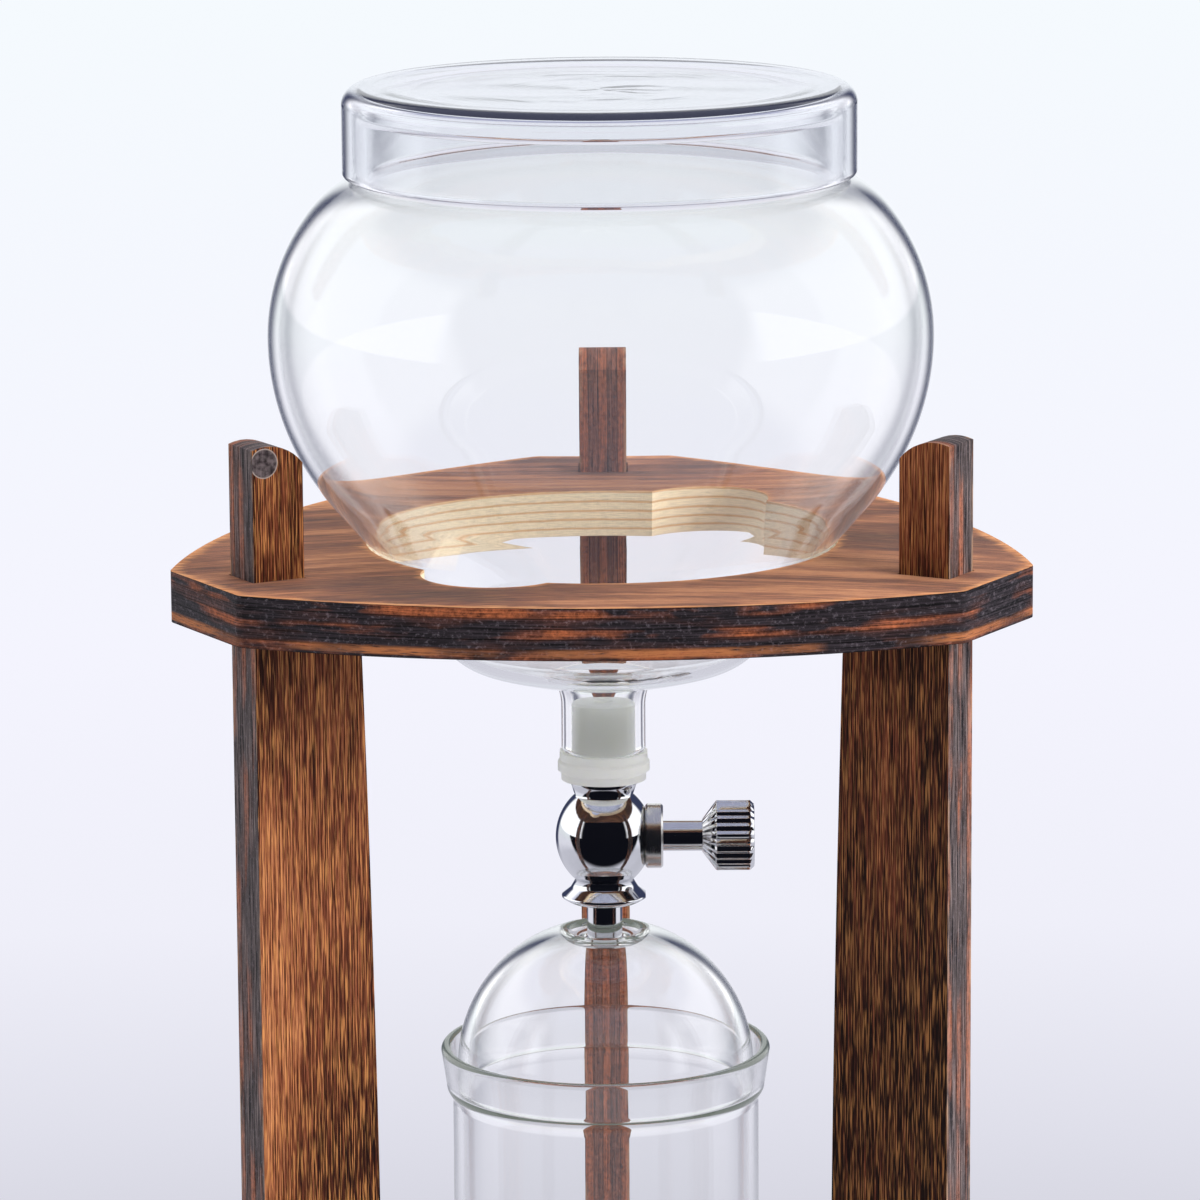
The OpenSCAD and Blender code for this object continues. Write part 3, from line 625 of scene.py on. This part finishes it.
def spin(name, outline, body, replaced, finish, shape=None, around=AROUND):
    """Turns an outline about the drip axis into a smooth piece that stands for a CAD node.

    shape changes the rings of points before they are joined by faces.
    """
    points = np.array(outline) * MM
    turns = np.linspace(0, 2 * math.pi, around, endpoint=False)
    rings = np.stack([points[:, :1] * np.cos(turns), points[:, :1] * np.sin(turns),
                      np.repeat(points[:, 1:], around, axis=1)], axis=-1)
    if shape:
        rings = shape(rings)
    count = len(points)
    here = np.arange(count * around).reshape(count, around)
    ahead = np.roll(here, -1, axis=1)
    corners = np.stack([here, np.roll(here, -1, axis=0), np.roll(ahead, -1, axis=0), ahead], axis=-1)
    starts_on_axis = points[0, 0] < 1e-6
    faces = corners[:-1] if starts_on_axis else corners
    data = bpy.data.meshes.new(name)
    data.from_pydata(rings.reshape(-1, 3).tolist(), [], faces.reshape(-1, 4).tolist())
    mesh = bmesh.new()
    mesh.from_mesh(data)
    bmesh.ops.remove_doubles(mesh, verts=mesh.verts, dist=1e-7)
    bmesh.ops.recalc_face_normals(mesh, faces=mesh.faces)
    mesh.to_mesh(data)
    mesh.free()
    data.polygons.foreach_set("use_smooth", [True] * len(data.polygons))
    data.materials.append(finish)
    made = bpy.data.objects.new(name, data)
    bpy.context.scene.collection.objects.link(made)
    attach(made, body)
    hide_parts(replaced)


def top_of(node):
    """A node's highest point, in millimetres."""
    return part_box(node)[1].z / MM


def widest(node):
    """How far a node reaches from the drip axis along X, in millimetres."""
    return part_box(node)[1].x / MM


def globe_outline():
    """From the mouth's rim down over the shoulder, the taper and the floor to the neck."""
    mouth_r, globe_r, neck_r, seat_r = 47.4, widest("water_globe"), 8.35, HOLE_R / MM
    mouth_h, neck_h, past_seat, seat_gap = 12, 9.35, 1, 0.3
    shoulder_turn, upper_turn, taper_turn, ease, dip, dip_more = 68, 39, 41, 7, 38, 11
    fillet, upper_bend, lower_bend, under_bend = 1, 40, 50, 40
    dip_bend, floor_bend, neck_bend, flare_bend, flare_turn = 12, 79, 2.2, 10, 20
    across = globe_r - mouth_r - fillet * (1 - cosine(shoulder_turn)) - upper_bend * (1 - cosine(upper_turn))
    shoulder = across / (cosine(upper_turn) - cosine(shoulder_turn))
    down = [(mouth_h, 0), (fillet, shoulder_turn), (shoulder, upper_turn - shoulder_turn),
            (upper_bend, -upper_turn)]
    drawn_in = globe_r - lower_bend * (1 - cosine(taper_turn)) - seat_r
    seat = (drawn_in + seat_gap / cosine(taper_turn)) / sine(taper_turn)
    taper = [(lower_bend, -taper_turn), (seat + past_seat, 0), (under_bend, ease)]
    lower = -90 - taper_turn + ease
    turn_down = dip + dip_more - flare_turn + taper_turn - ease
    floor = [(dip_bend, -dip), (floor_bend, -dip_more), (neck_bend, turn_down), (flare_bend, flare_turn)]
    run = (neck_r - globe_r - travel(-90, taper)[0] - travel(lower, floor)[0]) / cosine(lower)
    steps = down + taper + [(run, 0)] + floor + [(neck_h, 0)]
    return shell_outline((mouth_r, top_of("water_globe")), -90, steps, WALL)


def lid_outline():
    """From the middle of the dished top outwards and down the cap's side."""
    corner, border, bend, turn = 3.6, 10.6, 20, 12
    low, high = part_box("globe_lid")
    rise = 2 * bend * (1 - cosine(turn))
    dish = widest("globe_lid") - corner - border
    steps = [(dish, 0), (bend, turn), (bend, -turn), (border - 2 * bend * sine(turn), 0),
             (corner, -90), ((high.z - low.z) / MM - corner, 0)]
    return shell_outline((0, high.z / MM - rise), 0, steps, WALL)


def dome_outline():
    """From the hole outwards, over the lip of its recess and down the side."""
    hole_r, lip_bend, lip, lean, side_h = 4.3, WALL + 0.1, 50, 17, 4.5
    top = [(1, 0), (lip_bend, lip), (lip_bend, -lip - lean)]
    bend = (widest("dome_lid") - hole_r - travel(0, top)[0]) / (1 - sine(lean))
    steps = top + [(bend, lean - 90), (side_h, 0)]
    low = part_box("dome_lid")[0].z / MM
    return shell_outline((hole_r, low - travel(0, steps)[1]), 0, steps, WALL)


def chamber_outline():
    """From the rim down over the ledge, the straight body and the funnel to the drip stem."""
    lean, body_r, drip_r, funnel_bend, stem_bend = 8, 30.6, 7, 14, 6
    collar_h, body_h, stem_h, ledge_bend, ledge_turn = 8, 72, 26, 3, 30
    collar = [(collar_h / cosine(lean), 0), (ledge_bend, -ledge_turn), (ledge_bend, ledge_turn + lean)]
    rim_r = body_r - travel(-90 - lean, collar)[0]
    run = (body_r - drip_r - (funnel_bend + stem_bend) * (1 - sine(45))) / sine(45)
    steps = collar + [(body_h, 0), (funnel_bend, -45), (run, 0), (stem_bend, 45), (stem_h, 0)]
    return shell_outline((rim_r, top_of("brew_chamber")), -90 - lean, steps, WALL)


def rippled(rings):
    """Slow waves and faint rings in the dished middle of the lid, as pressed glass has."""
    random = np.random.default_rng(7)
    wave_height, wave_count, ring_share, ring_pitch = 0.04 * MM, 7, 1.8, 6.2 * MM
    x, y = rings[..., 0], rings[..., 1]
    reach = np.hypot(x, y)
    from_middle = np.hypot(x - 6 * MM, y + 4 * MM)
    rings_fade = np.clip((30 * MM - reach) / (12 * MM), 0, 1)
    wave = ring_share * np.sin(from_middle * 2 * math.pi / ring_pitch) * rings_fade
    for _ in range(wave_count):
        way, pitch, phase = random.uniform(0, math.pi), random.uniform(0.014, 0.034), random.uniform(0, 6.3)
        wave = wave + np.sin((x * math.cos(way) + y * math.sin(way)) * 2 * math.pi / pitch + phase)
    rings[..., 2] += np.clip((35 * MM - reach) / (8 * MM), 0, 1) * wave * wave_height
    return rings


# The valve body, in millimetres.
BALL_BEND = 11.5        # radius of the barrel's side
BALL_HALF = 8.6         # half the barrel's height
BALL_ABOVE = 11.8       # barrel's middle to the cup's top
CUP_R = 6.6
FLARE_R = 8.5
ROUNDED = 0.08          # how far the cup's edges are rounded
BOSS_X = 8.2            # drip axis to the flat that the packing nut sits on


def valve_outline():
    """Round outside of the valve body, from the underside of its flare to the top of its cup."""
    low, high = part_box("valve_body")
    bottom, top = low.z / MM, high.z / MM
    middle, ball_r = top - BALL_ABOVE, -low.x / MM
    lip = bottom + 0.9
    half = math.degrees(math.asin(BALL_HALF / BALL_BEND))
    barrel_foot = (ball_r - BALL_BEND + BALL_BEND * cosine(half), middle - BALL_HALF)
    barrel = walk(barrel_foot, 90 - half, [(BALL_BEND, 2 * half)])
    flare = [(0, bottom), (FLARE_R - 1.5, bottom), (FLARE_R - 1.3, bottom + 0.06),
             (FLARE_R - 0.1, lip - 0.08), (FLARE_R, lip + 0.05), (FLARE_R, lip + 0.4),
             (FLARE_R - 0.12, lip + 0.56), (CUP_R + 0.1, lip + 1.9)]
    cup = [(CUP_R - ROUNDED, top - 1.1), (CUP_R, top - 0.95), (CUP_R, top - ROUNDED), (CUP_R - ROUNDED, top),
           (0, top)]
    return flare + barrel + cup


def flat_boss(rings):
    """Flattens the side that the packing nut sits on."""
    rings[..., 0] = np.minimum(rings[..., 0], BOSS_X * MM)
    return rings


# The knob, in millimetres.
KNOB_LENGTH = 10.3
KNOB_R = 7.0
KNOB_NECK_R = 3.375
KNOB_CONE = 2.8         # how far along its cone ends
KNOB_RIBS = 26
RIB_DEPTH = 0.5
RIB_FADE = (5.4, 1.2)   # radius where the ribs start, and how far further out they are full


def knob_outline():
    """Along the knob from its collar to its end face, rounded at its edges."""
    side, pieces = KNOB_CONE + 0.12, 8
    side_length = KNOB_LENGTH - KNOB_CONE - 1.0
    start = [(0, 0), (KNOB_NECK_R - 0.1, 0), (KNOB_NECK_R, 0.08),
             (KNOB_R - 0.15, KNOB_CONE - 0.1), (KNOB_R, side)]
    ribbed = [(KNOB_R, side + side_length * k / pieces) for k in range(1, pieces + 1)]
    end = [(KNOB_R - 0.12, KNOB_LENGTH - 0.7), (KNOB_R - 0.75, KNOB_LENGTH - 0.06),
           (KNOB_R - 0.9, KNOB_LENGTH), (0, KNOB_LENGTH)]
    return start + ribbed + end


def knurled(rings):
    """Cuts straight ribs into the knob and lays it along X at the needle's height."""
    low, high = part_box("knob")
    reach = np.hypot(rings[..., 0], rings[..., 1])
    turn = np.arctan2(rings[..., 1], rings[..., 0])
    before_end = rings[..., 2] < (KNOB_LENGTH - 0.3) * MM
    ribbed = np.clip((reach / MM - RIB_FADE[0]) / RIB_FADE[1], 0, 1) * before_end
    groove = 1 - 2 * np.abs(turn * KNOB_RIBS / (2 * math.pi) % 1 - 0.5)
    scale = 1 - ribbed * groove * RIB_DEPTH * MM / np.maximum(reach, 1e-6)
    along = low.x + rings[..., 2]
    across, up = rings[..., 0] * scale, rings[..., 1] * scale
    return np.stack([along, across, (low.z + high.z) / 2 + up], axis=-1)


spin("globe_glass", globe_outline(), "globe", "water_globe", GLOBE_GLASS)
spin("lid_glass", lid_outline(), "lid", "globe_lid", LID_GLASS, rippled)
spin("dome_glass", dome_outline(), "dome", "dome_lid", BREW_GLASS)
spin("chamber_glass", chamber_outline(), "chamber", "brew_chamber", BREW_GLASS)
spin("valve_chrome", valve_outline(), "globe", "valve_body", CHROME, flat_boss)
spin("knob_chrome", knob_outline(), "knob", "knob", CHROME, knurled, around=KNOB_RIBS * 12)

# ---------------------------------------------------------------- floor, backdrop and light
# What metal and glass see of the studio, by compass turn from the front (0) to the back (180): a dark
# front, two pale panels, a dark gap and the pale backdrop.
ROOM_DARK = rgb(16, 17, 24)
ROOM_FAINT = rgb(184, 186, 196)         # the front, as clear glass mirrors it
ROOM_PANEL = (1.4, 1.4, 1.44)
ROOM_GAP = rgb(60, 66, 94)
ROOM_CEILING = rgb(174, 178, 202)
FRONT_TURN, BACK_TURN = 57, 169
GAP_LEFT, GAP_RIGHT = 140, 124          # where the gap starts on each side
GAP_GLASS = 156                         # where it starts, at the least, for glass

BACKDROP = rgb(245, 250, 254)
FLOOR_SIZE = 60.0       # middle to side, in metres
FLOOR_Z = -0.3 * MM     # just below the base
SEEN_PAPER = 0.62       # the near floor's share of light for the eye, to meet the colour further off
# The floor's colour for the eye, by the logarithm of the distance in metres.
FAR_SPAN = (-0.1, 0.7)
FAR_STOPS = [(0.0, rgb(208, 208, 219)), (0.12, rgb(224, 224, 235)), (0.26, rgb(239, 239, 249)),
             (0.45, rgb(244, 244, 254)), (1.0, BACKDROP)]


class Rays:
    """Who looks: the camera, a mirror, a view through glass, or the faint mirroring of a clear surface."""

    def __init__(self, t):
        path = t.add("LightPath").node.outputs
        self.camera = path["Is Camera Ray"]
        self.mirror = path["Is Glossy Ray"]
        self.through = path["Is Transmission Ray"]
        self.faint = t.times(self.mirror, path["Is Singular Ray"])
        self.lighting = path["Diffuse Depth"]       # above 0 where the ray brings light to a surface


def seen_front(t, rays):
    """The studio's front: dark, but pale as a clear surface mirrors it."""
    return t.mix(rays.faint, ROOM_DARK, ROOM_FAINT)


def seen_room(t, x, y, sides, back, rays):
    """The studio's colours around the object, for a direction or a place on the floor."""
    turn = t.math("DEGREES", t.math("ARCTAN2", t.absolute(x), t.times(y, -1.0)))
    glass = t.larger(rays.faint, rays.through)
    gap = t.larger(t.span(x, -0.01, 0.01, GAP_LEFT, GAP_RIGHT), t.times(glass, GAP_GLASS))
    past_gap = t.span(t.minus(turn, gap), -6, 6, smooth=True)
    past_front = t.span(turn, FRONT_TURN - 4, FRONT_TURN + 4, smooth=True)
    colour = t.mix(past_front, seen_front(t, rays), sides)
    colour = t.mix(past_gap, colour, ROOM_GAP)
    return t.mix(t.span(turn, BACK_TURN - 5, BACK_TURN + 4, smooth=True), colour, back)


def floor_paper():
    """Pale paper that takes the object's shadow, and further off the backdrop or the room around it."""
    made, t = material("floor_paper")
    x, y, _ = t.place()
    away = t.hypot(x, y)
    rays = Rays(t)
    tone = t.mix(t.noise(t.stretched((x, y), (60, 60)), detail=3), (0.80, 0.80, 0.82), (0.84, 0.84, 0.86))
    tone = t.mix(t.larger(rays.camera, rays.through), tone, t.dim(tone, SEEN_PAPER))
    far = t.ramp(t.span(t.math("LOGARITHM", away, 10.0), *FAR_SPAN), FAR_STOPS)
    room = t.mix(t.span(away, 0.6, 1.4, smooth=True), far, seen_room(t, x, y, far, far, rays))
    in_front = t.times(t.span(y, -0.14, -0.26, smooth=True), rays.mirror)
    room = t.mix(in_front, room, seen_front(t, rays))
    glow = t.add("Emission", {0: t.mix(rays.camera, room, far), 1: 1.0})
    seen = t.math("MAXIMUM", rays.camera, t.larger(rays.mirror, rays.through), clamp=True)
    unlit = t.span(rays.lighting, 1.0, 0.0)
    share = t.times(t.times(seen, unlit), t.span(away, 0.30, 0.80, smooth=True))
    share = t.larger(share, t.times(rays.mirror, t.span(away, 0.12, 0.24, smooth=True)))
    t.finish(t.shader_mix(share, t.add("BsdfDiffuse", {0: tone}), glow))
    return made


def studio():
    """A pale floor that turns into an even pale background away from the object."""
    data = bpy.data.meshes.new("floor")
    corners = [(-FLOOR_SIZE, -FLOOR_SIZE, 0), (FLOOR_SIZE, -FLOOR_SIZE, 0),
               (FLOOR_SIZE, FLOOR_SIZE, 0), (-FLOOR_SIZE, FLOOR_SIZE, 0)]
    data.from_pydata(corners, [], [(0, 1, 2, 3)])
    data.materials.append(floor_paper())
    floor = bpy.data.objects.new("floor", data)
    floor.location.z = FLOOR_Z
    bpy.context.scene.collection.objects.link(floor)


def world():
    """Even light for the object; a studio with dark and bright sides for what metal and glass mirror."""
    made = bpy.data.worlds.new("studio")
    bpy.context.scene.world = made
    made.use_nodes = True
    t = Tree(made.node_tree)
    x, y, z = t.parts(t.add("TexCoord", out="Generated"))
    rays = Rays(t)
    plain = t.mix(t.span(z, 0.0, 0.4), BACKDROP, rgb(250, 252, 255))
    panel = t.mix(t.span(z, 0.75, 0.5, smooth=True), ROOM_CEILING, ROOM_PANEL)
    room = seen_room(t, x, y, panel, plain, rays)
    room = t.mix(t.span(z, 0.55, 0.75, smooth=True), room, ROOM_CEILING)
    over = t.mix(t.span(z, 0.16, 0.34, smooth=True), room, ROOM_CEILING)
    over = t.mix(t.span(rays.lighting, 0.0, 1.0), over, (1.0, 0.99, 0.99))
    light = t.add("Background", {0: (0.93, 0.94, 1.0), 1: 0.5})
    for flag, colour in ((rays.camera, plain), (rays.through, over), (rays.mirror, room)):
        light = t.shader_mix(flag, light, t.add("Background", {0: colour, 1: 1.0}))
    t.finish(light, "World")


MIDDLE = (0, 0, 0.3)    # what the lamps are turned to


def lamp(name, at, width, height, power, colour=(1, 1, 1)):
    """A soft lamp that the camera, mirrors and glass don't show."""
    data = bpy.data.lights.new(name, "AREA")
    data.shape, data.size, data.size_y = "RECTANGLE", width, height
    data.energy, data.color = power, colour
    made = bpy.data.objects.new(name, data)
    made.location = at
    made.rotation_euler = (Vector(MIDDLE) - Vector(at)).to_track_quat("-Z", "Y").to_euler()
    made.visible_glossy = False
    made.visible_transmission = False
    made.visible_camera = False
    bpy.context.scene.collection.objects.link(made)


studio()
world()
lamp("key", (1.2, -0.9, 1.0), 0.7, 1.0, 30, (1.0, 0.98, 0.96))
lamp("left_softbox", (-1.2, -0.25, 0.7), 0.5, 1.3, 7)
lamp("right_softbox", (1.3, 0.3, 0.6), 0.5, 1.3, 8)
lamp("top", (0.1, 0.2, 1.7), 1.0, 1.0, 14)


# ---------------------------------------------------------------- camera
CAMERA = {
    "distance": 1257.907 * MM, "height": 630.871 * MM, "pitch": 11.163, "roll": 0.384, "yaw": 0.234,
    "focal_px": 6499.586, "shift_px": 2.565, "frame_px": 1200, "sensor": 36.0,
}


def camera():
    """The photograph's pinhole camera, turned about the drip axis by its yaw."""
    pitch, roll, yaw = (math.radians(CAMERA[key]) for key in ("pitch", "roll", "yaw"))
    at = Vector((CAMERA["distance"] * math.sin(yaw), -CAMERA["distance"] * math.cos(yaw), CAMERA["height"]))
    ahead = Vector((-math.sin(yaw) * math.cos(pitch), math.cos(yaw) * math.cos(pitch), -math.sin(pitch)))
    right = Vector((math.cos(yaw), math.sin(yaw), 0))
    up = right.cross(ahead)
    rolled_right = right * math.cos(roll) - up * math.sin(roll)
    rolled_up = right * math.sin(roll) + up * math.cos(roll)
    turn = Matrix((rolled_right, rolled_up, -ahead)).transposed().to_4x4()
    data = bpy.data.cameras.new("camera")
    data.sensor_width = CAMERA["sensor"]
    data.lens = CAMERA["focal_px"] / CAMERA["frame_px"] * CAMERA["sensor"]
    data.shift_x = -CAMERA["shift_px"] / CAMERA["frame_px"]
    data.clip_start, data.clip_end = 0.05, 200
    made = bpy.data.objects.new("camera", data)
    made.matrix_world = Matrix.Translation(at) @ turn
    bpy.context.scene.collection.objects.link(made)
    bpy.context.scene.camera = made


camera()
bpy.context.scene.view_settings.view_transform = "Standard"
